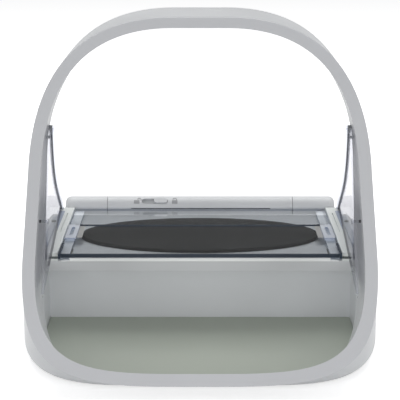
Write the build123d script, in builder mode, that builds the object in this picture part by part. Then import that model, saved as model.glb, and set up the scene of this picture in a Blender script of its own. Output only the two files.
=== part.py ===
from build123d import *
from math import atan, cos, pi, radians, sin, tan
import os

os.makedirs("parts", exist_ok=True)

# Microchip pet feeder, millimetres. +X is the pet's right, -Y is the front, +Z is up.
# The origin is on the surface that the feeder stands on, under the middle of its length.

# ---------------------------------------------------------------- driving dimensions
overall_length = 318.0
body_width = 231.0
nose_setback = 10.7          # the body's nose stands behind the hoop's foot
nose_corner_reach = (71.0, 108.0)
nose_fullness = (0.71, 0.72)       # how far each corner swells out, across and along
tail_corner_reach = (50.0, 95.0)
round_fullness = (0.55, 0.55)      # a corner like a quarter of an ellipse
foot_proud = 1.2
foot_radius = 7.0
screw_head = 1.7
screw_shank = 0.9
screw_head_height = 0.9
floor_thickness = 2.0
wall = 2.4
split_height = 14.0          # seam between the base tray and the upper body
deck_height = 47.5           # top of the shelf that carries the lid and its drive
tray_edge_radius = 8.0

hoop_width = 214.0
hoop_slope_length = 235.0    # the hoop's front face, measured up its slope
hoop_lean = 30.0             # degrees that the front face leans back
hoop_foot_height = 7.0
hoop_depth = 64.0            # front to back along the top of the hoop
hoop_band = 7.7              # width of the front face
hoop_cover_depth = 4.0
hoop_edge = 0.4              # the cover's outer edge is broken by this much
hoop_narrowing = 1.4         # the shoulders are this much narrower than the waist, each side
hoop_crown_reach = (88.0, 104.0)   # the top corners, across and up the slope
hoop_crown_fullness = (0.48, 0.81)
hoop_heel_reach = (94.0, 74.0)     # the bottom corners
hoop_heel_fullness = (0.71, 0.93)
hoop_skin = 2.2
mouth_skin = 2.8             # the skin round the hoop's mouth, inside the coil
mouth_depth = 70.0           # how far the mouth's lower edge slopes away behind the hoop
coil_depth = 2.5
shell_channel_depth = 22.0

shelf_length = 123.0         # the shelf's front edge to the rear ridge
bay_width = 204.6
bay_front_wall = 7.3
bay_corner_reach = (60.0, 76.0)
liner_wall = 1.5
shelf_overhang = 7.3
shelf_band = 7.5             # height of the upright band under the shelf's edge
shelf_rim = 2.3              # the shelf's front edge stands this far above the deck
mat_thickness = 2.0

ridge_length = 72.5          # the ridge's front to the rear of the feeder
ridge_width = 206.0
ridge_height = 59.6
rear_deck_height = 39.0
cover_width = 141.0
cover_skin = 2.2

lid_width = 190.0
lid_back_gap = 1.0           # between the drawn-back lid and the ridge
lid_thickness = 2.0
lid_gap = 0.4                # between the shelf's rim and the lid
lid_closed_setback = 26.5    # the closed lid's front edge stands this far behind the feeder's front
carriage_width = 7.0
tongue_reach = 4.0
tongue_length = 50.0
tongue_thickness = 1.2

rail_front_width = 5.8
rail_rear_width = 10.6
rail_height = 5.6

badge_length = 169.6
badge_depth = 86.0
badge_thickness = 2.4

rack_module = 0.8
idler_teeth = 14             # idlers under the racks, and the cross shaft's end gears
drive_gear_teeth = 24
motor_pinion_teeth = 12
gear_width = 4.0
rack_pitch_clearance = 1.1   # deck to the racks' pitch line
tooth_slack = 0.2            # taken off each tooth's thickness at the pitch line
shaft_radius = 1.5
motor_radius = 10.0
motor_length = 26.0

cell_radius = 13.1
cell_length = 50.0
button_radius = 5.0
button_travel = 1.5
knob_travel = 9.0

seat_gap = 0.3               # clearance at a loose seat, and between parts that move
running_fit = 0.08           # radial clearance of a shaft in its bearing

# ---------------------------------------------------------------- places worked out
front_y = -overall_length / 2
rear_y = overall_length / 2
nose_y = front_y + nose_setback
floor_top = foot_proud + floor_thickness
ridge_y = rear_y - ridge_length
shelf_front_y = ridge_y - shelf_length
bay_back_y = shelf_front_y + shelf_overhang
bay_half = bay_width / 2
body_half = body_width / 2
hoop_half = hoop_width / 2
lean_cos = cos(radians(hoop_lean))
lean_sin = sin(radians(hoop_lean))
hoop_top_y = front_y + hoop_slope_length * lean_sin
hoop_top_z = hoop_foot_height + hoop_slope_length * lean_cos
ridge_half = ridge_width / 2
cover_half = cover_width / 2
lid_half = lid_width / 2
lid_bottom = deck_height + shelf_rim + lid_gap
lid_top = lid_bottom + lid_thickness
lid_front_y = shelf_front_y
lid_rear_y = ridge_y - lid_back_gap
lid_length = lid_rear_y - lid_front_y
lid_travel = lid_front_y - (front_y + lid_closed_setback)
rail_inner = lid_half + seat_gap
rail_top = deck_height + rail_height
rail_rear_y = ridge_y - seat_gap
rim_half = lid_half - carriage_width - 2 * seat_gap
rack_x = lid_half - carriage_width + gear_width / 2
addendum = 0.8 * rack_module
dedendum = 1.05 * rack_module
idler_radius = rack_module * idler_teeth / 2
rack_pitch_z = deck_height + rack_pitch_clearance
idler_z = rack_pitch_z - idler_radius
shaft_z = idler_z - 2 * idler_radius
drive_y = lid_rear_y - lid_travel - 4
drive_gear_radius = rack_module * drive_gear_teeth / 2
motor_pinion_radius = rack_module * motor_pinion_teeth / 2
motor_y = drive_y + drive_gear_radius + motor_pinion_radius


def face_plane(back):
    """The hoop's leaning front plane, moved straight back by a distance."""
    return Plane(
        origin=(0, front_y + back, hoop_foot_height),
        x_dir=(1, 0, 0),
        z_dir=(0, -lean_cos, lean_sin),
    )


def corner(start, end, fullness):
    """A rounded corner inside a BuildLine block, level at its start and upright at its end."""
    level = (start[0] + fullness[0] * (end[0] - start[0]), start[1])
    upright = (end[0], end[1] + fullness[1] * (start[1] - end[1]))
    return Bezier(start, level, upright, end)


def hoop_face(back, inset):
    """The hoop's egg-shaped outline on its front plane, pulled in by an inset."""
    top = hoop_slope_length - inset
    shoulder = hoop_slope_length - hoop_crown_reach[1]
    shoulder_half = hoop_half - hoop_narrowing
    waist = hoop_heel_reach[1]
    heel_x = hoop_half - hoop_heel_reach[0]
    crown_x = shoulder_half - hoop_crown_reach[0]
    with BuildSketch(face_plane(back)) as face:
        with BuildLine():
            Line((0, inset), (heel_x, inset))
            corner((heel_x, inset), (hoop_half - inset, waist), hoop_heel_fullness)
            Line((hoop_half - inset, waist), (shoulder_half - inset, shoulder))
            corner((crown_x, top), (shoulder_half - inset, shoulder), hoop_crown_fullness)
            Line((crown_x, top), (0, top))
            mirror(about=Plane.YZ)
        make_face()
    return face.sketch


def hoop_prism(back, inset, depth, run=(0, 1, 0)):
    """A solid with the hoop's outline, running back from its front plane along a direction."""
    with BuildPart() as prism:
        add(hoop_face(back, inset))
        extrude(amount=depth, dir=run)
    return prism.part


def body_plan(height, inset):
    """The feeder's outline seen from above: rounded nose, full sides, rounded rear."""
    side = body_half - inset
    nose_x = body_half - nose_corner_reach[0]
    tail_x = body_half - tail_corner_reach[0]
    nose_bend_y = nose_y + nose_corner_reach[1]
    tail_bend_y = rear_y - tail_corner_reach[1]
    with BuildSketch(Plane.XY.offset(height)) as plan:
        with BuildLine():
            Line((0, nose_y + inset), (nose_x, nose_y + inset))
            corner((nose_x, nose_y + inset), (side, nose_bend_y), nose_fullness)
            Line((side, nose_bend_y), (side, tail_bend_y))
            corner((tail_x, rear_y - inset), (side, tail_bend_y), round_fullness)
            Line((tail_x, rear_y - inset), (0, rear_y - inset))
            mirror(about=Plane.YZ)
        make_face()
    return plan.sketch


def body_prism(low, high, inset):
    """A solid with the feeder's outline between two heights."""
    with BuildPart() as prism:
        add(body_plan(low, inset))
        extrude(amount=high - low)
    return prism.part


def bay_plan(height, inset):
    """The bowl bay seen from above, to the liner's inner face at no inset."""
    bay_nose_y = nose_y + bay_front_wall
    side = bay_half - inset
    nose_x = bay_half - bay_corner_reach[0]
    bend_y = bay_nose_y + bay_corner_reach[1]
    back = bay_back_y - inset
    with BuildSketch(Plane.XY.offset(height)) as plan:
        with BuildLine():
            Line((0, bay_nose_y + inset), (nose_x, bay_nose_y + inset))
            corner((nose_x, bay_nose_y + inset), (side, bend_y), round_fullness)
            Line((side, bend_y), (side, back))
            Line((side, back), (0, back))
            mirror(about=Plane.YZ)
        make_face()
    return plan.sketch


def bay_prism(low, high, inset):
    """A solid that fills the bowl bay between two heights."""
    with BuildPart() as prism:
        add(bay_plan(low, inset))
        extrude(amount=high - low)
    return prism.part


def slab(low, high, mode=Mode.ADD):
    """A box between two opposite corners."""
    middle = [(a + b) / 2 for a, b in zip(low, high)]
    size = [b - a for a, b in zip(low, high)]
    with Locations(tuple(middle)):
        return Box(*size, mode=mode)


def rod(start, axis, radius, length, mode=Mode.ADD):
    """A round bar from a start point, along a direction."""
    with BuildSketch(Plane(origin=start, z_dir=axis), mode=Mode.PRIVATE) as end:
        Circle(radius)
    return extrude(end.sketch, amount=length, mode=mode)


def finish(sub_part, name):
    """Labels a finished piece and writes it."""
    sub_part.part.label = name
    export_step(sub_part.part, "parts/" + name + ".step")


# ---------------------------------------------------------------- base tray and what is under it
tray_clear_y = front_y + 50          # the tray's nose is solid up to here
tray_hollow_half = bay_half + liner_wall + seat_gap + wall
straight_back = (0, 1, 0)
square_to_face = (0, lean_cos, -lean_sin)

# the mouth runs level through the hoop, and below it falls away to the bay's floor
with BuildPart() as mouth:
    add(hoop_prism(0, hoop_band, mouth_depth, square_to_face))
    slab((-body_width, front_y, -overall_length), (body_width, rear_y, floor_top), mode=Mode.SUBTRACT)
    add(hoop_prism(0, hoop_band, hoop_depth, straight_back))
mouth_void = mouth.part


def hoop_channel(depth, run):
    """The hollow between the hoop's two skins, open to the front cover."""
    with BuildPart() as ring:
        add(hoop_prism(hoop_cover_depth, hoop_skin, depth, run))
        add(hoop_prism(hoop_cover_depth, hoop_band - mouth_skin, depth, run), mode=Mode.SUBTRACT)
    return ring.part


coil_channel = hoop_channel(coil_depth + 0.7, square_to_face)
shell_channel = hoop_channel(shell_channel_depth, straight_back)

with BuildPart() as base_tray:
    add(body_prism(foot_proud, split_height, 0))
    fillet(base_tray.faces().sort_by(Axis.Z)[0].edges(), radius=tray_edge_radius)
    add(hoop_prism(hoop_cover_depth, 0, hoop_depth))
    slab((-body_width, front_y, split_height), (body_width, rear_y, hoop_top_z + 40), mode=Mode.SUBTRACT)
    add(bay_prism(floor_top, split_height, -liner_wall), mode=Mode.SUBTRACT)
    with BuildPart(mode=Mode.PRIVATE) as tray_cavity:
        add(body_prism(floor_top, split_height, wall + 5))
        slab(
            (-tray_hollow_half, front_y, floor_top),
            (tray_hollow_half, bay_back_y + liner_wall + wall, split_height),
            mode=Mode.SUBTRACT,
        )
        slab((-body_half, front_y, floor_top), (body_half, tray_clear_y, split_height), mode=Mode.SUBTRACT)
    add(tray_cavity.part, mode=Mode.SUBTRACT)
    add(mouth_void, mode=Mode.SUBTRACT)
    split(bisect_by=face_plane(hoop_cover_depth), keep=Keep.BOTTOM)
    add(coil_channel, mode=Mode.SUBTRACT)
finish(base_tray, "base_tray")

with BuildPart() as bay_liner:
    add(bay_prism(floor_top, deck_height - shelf_band - seat_gap, -liner_wall + seat_gap / 3))
    add(bay_prism(floor_top, deck_height, 0), mode=Mode.SUBTRACT)
    add(mouth_void, mode=Mode.SUBTRACT)
    split(bisect_by=face_plane(hoop_cover_depth), keep=Keep.BOTTOM)
finish(bay_liner, "bay_liner")

with BuildPart() as bay_mat:
    add(bay_prism(floor_top, floor_top + mat_thickness, seat_gap))
finish(bay_mat, "bay_mat")

foot_x = body_half - 36
foot_front_y = front_y + 42
foot_rear_y = rear_y - 28
foot_spots = [(x, y) for x in (-foot_x, foot_x) for y in (foot_front_y, foot_rear_y)]
with BuildPart() as rubber_feet:
    with BuildSketch(Plane.XY):
        with Locations(*foot_spots):
            Circle(foot_radius)
    extrude(amount=foot_proud)
    chamfer(rubber_feet.faces().sort_by(Axis.Z)[0].edges(), length=0.4)
finish(rubber_feet, "rubber_feet")

# ---------------------------------------------------------------- upper body and the shelf
body_clear_y = front_y + 56
inner_wall_half = bay_half + liner_wall + wall
shelf_back_y = bay_back_y + liner_wall

with BuildPart() as upper_body:
    add(body_prism(split_height, deck_height, 0))
    split(bisect_by=Plane(origin=(0, ridge_y, 0), z_dir=(0, 1, 0)), keep=Keep.BOTTOM)
    deck_edges = upper_body.faces().sort_by(Axis.Z)[-1].edges()
    fillet(deck_edges.filter_by(lambda e: abs(e.center().X) > body_half * 0.8), radius=3)
    add(hoop_prism(hoop_cover_depth, 0, hoop_depth))
    slab((-body_width, front_y - 20, deck_height), (body_width, rear_y, hoop_top_z + 40), mode=Mode.SUBTRACT)
    slab((-body_width, front_y - 20, -20), (body_width, rear_y, split_height), mode=Mode.SUBTRACT)
    with BuildPart(mode=Mode.PRIVATE) as body_cavity:
        add(body_prism(split_height, deck_height - wall, wall))
        slab(
            (-inner_wall_half, front_y, split_height),
            (inner_wall_half, shelf_back_y + wall, deck_height),
            mode=Mode.SUBTRACT,
        )
        slab((-body_half, front_y, split_height), (body_half, body_clear_y, deck_height), mode=Mode.SUBTRACT)
    add(body_cavity.part, mode=Mode.SUBTRACT)
    add(bay_prism(split_height, deck_height, -liner_wall), mode=Mode.SUBTRACT)
    slab(
        (-bay_half - liner_wall, shelf_front_y, deck_height - shelf_band),
        (bay_half + liner_wall, shelf_back_y, deck_height),
    )
    slab((-rim_half, shelf_front_y, deck_height), (rim_half, shelf_front_y + 4.5, deck_height + shelf_rim))
    shelf_nose = upper_body.edges().filter_by(Axis.X).group_by(Axis.Z)[-1].sort_by(Axis.Y)[0]
    fillet(shelf_nose, radius=1.8)
    for side in (-1, 1):
        with Locations((side * rack_x, drive_y, deck_height)):
            Box(gear_width + 1.4, 2 * idler_radius + 2.4, 4 * wall, mode=Mode.SUBTRACT)
    add(mouth_void, mode=Mode.SUBTRACT)
    split(bisect_by=face_plane(hoop_cover_depth), keep=Keep.BOTTOM)
    add(coil_channel, mode=Mode.SUBTRACT)
finish(upper_body, "upper_body")

# ---------------------------------------------------------------- the hoop at the front
with BuildPart() as hoop_front:
    add(hoop_prism(hoop_edge, 0, hoop_cover_depth - hoop_edge))
    loft([hoop_face(0, hoop_edge), hoop_face(hoop_edge, 0)], ruled=True)
    add(mouth_void, mode=Mode.SUBTRACT)
finish(hoop_front, "hoop_front")

wing_thickness = 1.6
wing_flange = 1.8            # the stiffening lip along the wing's rear edge, turned inwards
wing_foot_z = rail_top + seat_gap
wing_front_back = 5.5        # the wing's front edge stands this far behind the hoop's face
wing_screw_spots = ((91.6, 10.5), (137.6, 17.5))   # height, and distance behind the hoop's face
hoop_back_top = 143.0


def hoop_y(height):
    """How far back the hoop's front face is at a height."""
    return front_y + (height - hoop_foot_height) * tan(radians(hoop_lean))


def wing_half(y, height):
    """Half the distance between the wings' outer faces, which flare out to the rear and down."""
    return lid_half + 9.1 + 0.053 * y - 0.0357 * height


wing_screws_at = [(hoop_y(height) + back, height) for height, back in wing_screw_spots]

wing_screw_reach = 3.8
hoop_back_low_y = shelf_front_y - 25.5
with BuildPart() as hoop_shell:
    add(hoop_prism(hoop_cover_depth, 0, hoop_depth - hoop_cover_depth))
    add(mouth_void, mode=Mode.SUBTRACT)
    slab((-body_width, front_y - 20, -20), (body_width, rear_y, deck_height), mode=Mode.SUBTRACT)
    with BuildSketch(Plane.YZ.offset(-body_width)):
        with BuildLine():
            visor = Spline(
                (hoop_back_low_y, deck_height - 5),
                (hoop_back_low_y + 3, deck_height + 66),
                (hoop_back_low_y + 17, deck_height + 104),
                (hoop_top_y + hoop_depth - 22, hoop_top_z - 26),
                (hoop_top_y + hoop_depth + 1, hoop_top_z + 4),
            )
            Polyline(visor @ 1, (rear_y, hoop_top_z + 4), (rear_y, deck_height - 5), visor @ 0)
        make_face()
    extrude(amount=2 * body_width, mode=Mode.SUBTRACT)
    add(shell_channel, mode=Mode.SUBTRACT)
    add(coil_channel, mode=Mode.SUBTRACT)
    for side in (-1, 1):
        for y, height in wing_screws_at:
            spot = (side * wing_half(y, height), y, height)
            rod(spot, (side, 0, 0), screw_shank + 0.1, wing_screw_reach + 0.3, mode=Mode.SUBTRACT)
finish(hoop_shell, "hoop_shell")

with BuildPart() as antenna_coil:
    coil_back = hoop_cover_depth + 0.5
    add(hoop_prism(coil_back, hoop_skin + seat_gap, coil_depth, square_to_face))
    coil_inner = hoop_band - mouth_skin - seat_gap
    add(hoop_prism(coil_back, coil_inner, coil_depth, square_to_face), mode=Mode.SUBTRACT)
finish(antenna_coil, "antenna_coil")

# ---------------------------------------------------------------- clear side wings
def wing_prism(side, step):
    """The wing's side profile, moved forward and down by a step and run out to one side."""
    low_front = (hoop_y(wing_foot_z) + wing_front_back, wing_foot_z)
    high_front = (hoop_y(hoop_back_top) + wing_front_back, hoop_back_top)
    tip = (high_front[0] + 16, hoop_back_top + 1)
    low_rear = (rail_rear_y - 2, wing_foot_z)
    edge = [low_rear, low_front, high_front, tip, (-31, 112), (16, 84), (52, 68), low_rear]
    moved = [(y - step, height - step) for y, height in edge]
    with BuildPart() as prism:
        with BuildSketch(Plane.YZ):
            with BuildLine():
                Polyline(*moved[:4])
                Spline(*moved[3:])
            make_face()
        extrude(amount=side * body_half)
    return prism.part


def flared_sheet(side, thickness):
    """A tall sheet that flares as the wing does, of a thickness inside the wing's outer face."""
    far = overall_length
    front_half = wing_half(-far, 0)
    rear_half = wing_half(far, 0)
    with BuildPart() as sheet:
        with BuildSketch(Plane.XY):
            with BuildLine():
                Polyline(
                    (side * front_half, -far),
                    (side * rear_half, far),
                    (side * (rear_half - thickness), far),
                    (side * (front_half - thickness), -far),
                    close=True,
                )
            make_face()
        lean = wing_half(0, body_width) - wing_half(0, 0)
        extrude(amount=body_width, dir=(side * lean, 0, body_width))
    return sheet.part


for side, name in ((-1, "left_wing"), (1, "right_wing")):
    with BuildPart() as wing_lip:
        add(wing_prism(side, 0))
        add(wing_prism(side, wing_thickness), mode=Mode.SUBTRACT)
        add(flared_sheet(side, wing_thickness + wing_flange), mode=Mode.INTERSECT)
    with BuildPart() as wing:
        add(wing_prism(side, 0))
        add(flared_sheet(side, wing_thickness), mode=Mode.INTERSECT)
        add(wing_lip.part)
        for y, height in wing_screws_at:
            spot = (side * body_half, y, height)
            rod(spot, (-side, 0, 0), screw_shank + 0.1, body_half / 2, mode=Mode.SUBTRACT)
    finish(wing, name)

with BuildPart() as wing_screws:
    for side in (-1, 1):
        for y, height in wing_screws_at:
            face_x = wing_half(y, height) - wing_thickness - 0.15
            rod((side * face_x, y, height), (-side, 0, 0), screw_head, screw_head_height)
            rod((side * face_x, y, height), (side, 0, 0), screw_shank, wing_thickness + wing_screw_reach)
finish(wing_screws, "wing_screws")

# ---------------------------------------------------------------- rails beside the lid
tongue_low = deck_height + 1.4
tongue_x = lid_half + tongue_reach
for side, name in ((-1, "left_rail"), (1, "right_rail")):
    with BuildPart() as rail:
        with BuildSketch(Plane.XY.offset(deck_height)):
            with BuildLine():
                Polyline(
                    (side * rail_inner, shelf_front_y),
                    (side * (rail_inner + rail_front_width), shelf_front_y),
                    (side * (rail_inner + rail_rear_width), rail_rear_y),
                    (side * rail_inner, rail_rear_y),
                    close=True,
                )
            make_face()
        extrude(amount=rail_height)
        fillet(rail.faces().sort_by(Axis.Z)[-1].edges(), radius=0.6)
        with BuildSketch(Plane.XZ.offset(-rail_rear_y)):
            with Locations((side * (rail_inner + tongue_reach / 2), tongue_low + tongue_thickness / 2)):
                Rectangle(tongue_reach + 2 * seat_gap, tongue_thickness + 2 * seat_gap)
        extrude(amount=rail_rear_y - shelf_front_y, mode=Mode.SUBTRACT)
        slit = side * (rail_inner + 3.6)
        slab(
            (slit - 0.4, shelf_front_y + 52, rail_top - 1),
            (slit + 0.4, rail_rear_y - 18, rail_top + 1),
            mode=Mode.SUBTRACT,
        )
    finish(rail, name)

bracket_width = 4.6
bracket_thickness = 1.8
bracket_x = rail_inner + rail_rear_width + seat_gap + bracket_width / 2
bracket_front_y = shelf_front_y - 1.5
bracket_length = 112.0
bracket_screw_ys = (bracket_front_y + 5, bracket_front_y + 19.3, bracket_front_y + 96)
for side, name in ((-1, "left_bracket"), (1, "right_bracket")):
    with BuildPart() as bracket:
        with BuildSketch(Plane.XY.offset(deck_height)):
            with Locations((side * bracket_x, bracket_front_y + bracket_length / 2)):
                RectangleRounded(bracket_width, bracket_length, radius=2)
        extrude(amount=bracket_thickness)
        with BuildSketch(Plane.XY.offset(deck_height)):
            with Locations(*[(side * bracket_x, y) for y in bracket_screw_ys]):
                Circle(screw_shank + 0.1)
        extrude(amount=bracket_thickness, mode=Mode.SUBTRACT)
        chamfer(bracket.faces().sort_by(Axis.Z)[-1].outer_wire().edges(), length=0.4)
    finish(bracket, name)

with BuildPart() as bracket_screws:
    spots = [(side * bracket_x, y) for side in (-1, 1) for y in bracket_screw_ys]
    with BuildSketch(Plane.XY.offset(deck_height + bracket_thickness)):
        with Locations(*spots):
            Circle(screw_head)
    extrude(amount=screw_head_height)
    with BuildSketch(Plane.XY.offset(deck_height)):
        with Locations(*spots):
            Circle(screw_shank)
    extrude(amount=bracket_thickness)
finish(bracket_screws, "bracket_screws")

# ---------------------------------------------------------------- rear housing and its cover
ridge_bend = (8.5, 7.5)
tail_setback = 8.0
ridge_tail_y = rear_y - tail_setback
ridge_tail_z = rear_deck_height + 2.5
cover_seam = 0.3


def ridge_prism(low_x, high_x, inset):
    """The ridge's side profile, run across the feeder between two places."""
    bend_y = ridge_y + ridge_bend[0]
    bend_z = ridge_height - ridge_bend[1]
    with BuildPart() as prism:
        with BuildSketch(Plane.YZ.offset(low_x)):
            with BuildLine():
                Line((ridge_y + inset, rear_deck_height), (ridge_y + inset, bend_z))
                corner((bend_y, ridge_height - inset), (ridge_y + inset, bend_z), round_fullness)
                Line((bend_y, ridge_height - inset), (ridge_tail_y - inset, ridge_tail_z - inset))
                Line((ridge_tail_y - inset, ridge_tail_z - inset), (ridge_tail_y - inset, rear_deck_height))
                Line((ridge_tail_y - inset, rear_deck_height), (ridge_y + inset, rear_deck_height))
            make_face()
        extrude(amount=high_x - low_x)
    return prism.part


def behind_ridge(solid):
    """The part of a solid that lies behind the ridge's front."""
    with BuildPart() as rear:
        add(solid)
        split(bisect_by=Plane(origin=(0, ridge_y, 0), z_dir=(0, 1, 0)), keep=Keep.TOP)
    return rear.part


hinge_y = ridge_tail_y - 1.5
hinge_z = rear_deck_height - 1.5
pin_radius = 1.0
barrel_radius = 2.6
barrel_length = 10.0
lug_radius = 2.0
lug_width = 3.2
barrel_x = cover_half * 0.64
lug_x = barrel_length / 2 + seat_gap + lug_width / 2
lug_spots = [spot + step for spot in (-barrel_x, barrel_x) for step in (-lug_x, lug_x)]
battery_bay_rear_y = hinge_y - 5.5
trough_front_y = hinge_y - barrel_radius - seat_gap
trough_rear_y = ridge_tail_y + 3.3
tail_flat = body_half - tail_corner_reach[0]
button_xs = (tail_flat - 43.5, tail_flat - 27.5, tail_flat - 11.5)
button_z = 25.0
button_flange = 1.2

with BuildPart() as rear_housing:
    add(behind_ridge(body_prism(split_height, rear_deck_height, 0)))
    fillet(rear_housing.faces().sort_by(Axis.Z)[-1].edges().sort_by(Axis.Y)[1:], radius=2.0)
    with BuildPart(mode=Mode.PRIVATE) as end_blocks:
        add(ridge_prism(-ridge_half, ridge_half, 0))
        top_ends = end_blocks.edges().filter_by(Axis.X, reverse=True).filter_by(
            lambda e: e.center().Z > ridge_height - 12 and e.center().Y > ridge_y + 1
        )
        fillet(top_ends, radius=4.5)
        add(body_prism(rear_deck_height, ridge_height + 5, 3), mode=Mode.INTERSECT)
        slab(
            (-cover_half - cover_seam, ridge_y, rear_deck_height),
            (cover_half + cover_seam, rear_y, ridge_height + 5),
            mode=Mode.SUBTRACT,
        )
    add(end_blocks.part)
    add(behind_ridge(body_prism(split_height, rear_deck_height - wall, wall)), mode=Mode.SUBTRACT)
    for side in (-1, 1):
        near = side * (cover_half + cover_seam + wall)
        far = side * (ridge_half - wall)
        with BuildPart(mode=Mode.PRIVATE) as block_hollow:
            add(ridge_prism(min(near, far), max(near, far), wall))
            add(body_prism(rear_deck_height, ridge_height, 3 + wall), mode=Mode.INTERSECT)
        add(block_hollow.part, mode=Mode.SUBTRACT)
    bay_edge = cover_half - 4
    slab(
        (-bay_edge, ridge_y + 3, rear_deck_height - wall - 1),
        (bay_edge, battery_bay_rear_y, rear_deck_height + 1),
        mode=Mode.SUBTRACT,
    )
    slab(
        (-cover_half - cover_seam, trough_front_y, rear_deck_height - wall - 1),
        (cover_half + cover_seam, trough_rear_y, rear_deck_height + 3),
        mode=Mode.SUBTRACT,
    )
    for x in lug_spots:
        rod((x - lug_width / 2, hinge_y, hinge_z), (1, 0, 0), lug_radius, lug_width)
        slab(
            (x - lug_width / 2, trough_front_y - 1, hinge_z - lug_radius),
            (x + lug_width / 2, hinge_y, hinge_z + 1),
        )
        spot = (x - lug_width, hinge_y, hinge_z)
        rod(spot, (1, 0, 0), pin_radius + 0.05, 2 * lug_width, mode=Mode.SUBTRACT)
    for x in button_xs:
        rod((x, rear_y + 1, button_z), (0, -1, 0), button_radius + seat_gap, 2 * wall, mode=Mode.SUBTRACT)
    rod((button_xs[0] - 12, rear_y + 1, button_z), (0, -1, 0), 1.6, 2 * wall, mode=Mode.SUBTRACT)
finish(rear_housing, "rear_housing")

lock_x = -34.5
lock_slot_length = 20.0
lock_slot_width = 4.8
lock_plane = Plane(
    origin=(lock_x, ridge_y + 0.29 * ridge_bend[0], ridge_height - 0.29 * ridge_bend[1]),
    x_dir=(1, 0, 0),
    z_dir=(0, -0.66, 0.75),
)
knob_length = lock_slot_length - knob_travel - 2 * seat_gap
knob_x = (lock_slot_length - knob_length) / 2 - seat_gap
with BuildPart() as battery_cover:
    add(ridge_prism(-cover_half, cover_half, 0))
    add(ridge_prism(-cover_half + cover_skin, cover_half - cover_skin, cover_skin), mode=Mode.SUBTRACT)
    slab(
        (-cover_half, ridge_y, rear_deck_height),
        (cover_half, rear_y, rear_deck_height + seat_gap),
        mode=Mode.SUBTRACT,
    )
    for x in lug_spots:
        spot = (x - lug_width / 2 - seat_gap, hinge_y, hinge_z)
        rod(spot, (1, 0, 0), lug_radius + 0.5, lug_width + 2 * seat_gap, mode=Mode.SUBTRACT)
    for x in (-barrel_x, barrel_x):
        rod((x - barrel_length / 2, hinge_y, hinge_z), (1, 0, 0), barrel_radius, barrel_length)
        slab(
            (x - barrel_length / 2, hinge_y - 0.8, hinge_z),
            (x + barrel_length / 2, ridge_tail_y, rear_deck_height + 1),
        )
        spot = (x - barrel_length, hinge_y, hinge_z)
        rod(spot, (1, 0, 0), pin_radius + running_fit, 2 * barrel_length, mode=Mode.SUBTRACT)
    with BuildSketch(lock_plane.offset(-4)):
        SlotOverall(lock_slot_length, lock_slot_width)
    extrude(amount=8, mode=Mode.SUBTRACT)
finish(battery_cover, "battery_cover")

with BuildPart() as lock_knob:
    with BuildSketch(lock_plane.offset(-3.2)):
        with Locations((knob_x, 0)):
            SlotOverall(knob_length, lock_slot_width - 2 * seat_gap)
    extrude(amount=4.2)
    fillet(lock_knob.faces().sort_by(Axis.Z)[-1].edges(), radius=0.4)
    with BuildSketch(lock_plane.offset(-5.0)):
        with Locations((knob_x, 0)):
            Rectangle(knob_length + 2 * knob_travel + 3, lock_slot_width + 1)
    extrude(amount=1.8)
finish(lock_knob, "lock_knob")

with BuildPart() as cover_hinge_pins:
    for x in (-barrel_x, barrel_x):
        rod((x - lug_x - lug_width / 2, hinge_y, hinge_z), (1, 0, 0), pin_radius, 2 * lug_x + lug_width)
finish(cover_hinge_pins, "cover_hinge_pins")

# ---------------------------------------------------------------- the oval badge on the shelf
badge_y = shelf_front_y + 60.9
with BuildPart() as oval_badge:
    with BuildSketch(Plane.XY.offset(deck_height)):
        with Locations((0, badge_y)):
            Ellipse(badge_length / 2, badge_depth / 2)
    extrude(amount=badge_thickness)
    chamfer(oval_badge.faces().sort_by(Axis.Z)[-1].edges(), length=0.6)
finish(oval_badge, "oval_badge")

# ---------------------------------------------------------------- the lid and its carriages
with BuildPart() as lid_panel:
    with BuildSketch(Plane.XY.offset(lid_bottom)):
        with Locations((0, (lid_front_y + lid_rear_y) / 2)):
            RectangleRounded(lid_width, lid_length, radius=2)
    extrude(amount=lid_thickness)
    fillet(lid_panel.faces().sort_by(Axis.Z)[-1].edges(), radius=0.6)
finish(lid_panel, "lid_panel")

seal_depth = 1.5
with BuildPart() as lid_front_seal:
    slab(
        (-lid_half + 1.9, lid_front_y - seal_depth, lid_bottom - 0.4),
        (lid_half - 1.9, lid_front_y, lid_top + 0.3),
    )
    fillet(lid_front_seal.edges().filter_by(Axis.X), radius=0.5)
finish(lid_front_seal, "lid_front_seal")

stiffener_y = lid_front_y + 71.5
clip_width = 8.0
clip_length = 36.0
with BuildPart() as lid_stiffener:
    reach = lid_half - 1 - clip_width
    slab((-reach, stiffener_y - 0.6, lid_top), (reach, stiffener_y + 0.6, lid_top + 0.9))
finish(lid_stiffener, "lid_stiffener")

with BuildPart() as lid_clips:
    for side in (-1, 1):
        clip_middle = (side * (lid_half - 0.5 - clip_width / 2), stiffener_y - clip_length / 2)
        with BuildSketch(Plane.XY.offset(lid_top)):
            with Locations(clip_middle):
                RectangleRounded(clip_width, clip_length, radius=1.5)
                SlotOverall(clip_length * 0.6, 2.4, rotation=90, mode=Mode.SUBTRACT)
        extrude(amount=1.2)
finish(lid_clips, "lid_clips")

side_seal_height = 0.8
with BuildPart() as lid_side_seals:
    for side in (-1, 1):
        near = side * (lid_half - 1.8)
        far = side * (lid_half - 0.2)
        slab(
            (min(near, far), lid_front_y - seal_depth, lid_top),
            (max(near, far), lid_front_y + 24, lid_top + side_seal_height),
        )
        slab(
            (min(near, far), lid_front_y - seal_depth - 2, lid_bottom - 0.4),
            (max(near, far), lid_front_y - seal_depth, lid_top + side_seal_height),
        )
    fillet(lid_side_seals.edges().filter_by(Axis.X).group_by(Axis.Z)[-1], radius=0.3)
finish(lid_side_seals, "lid_side_seals")

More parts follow.
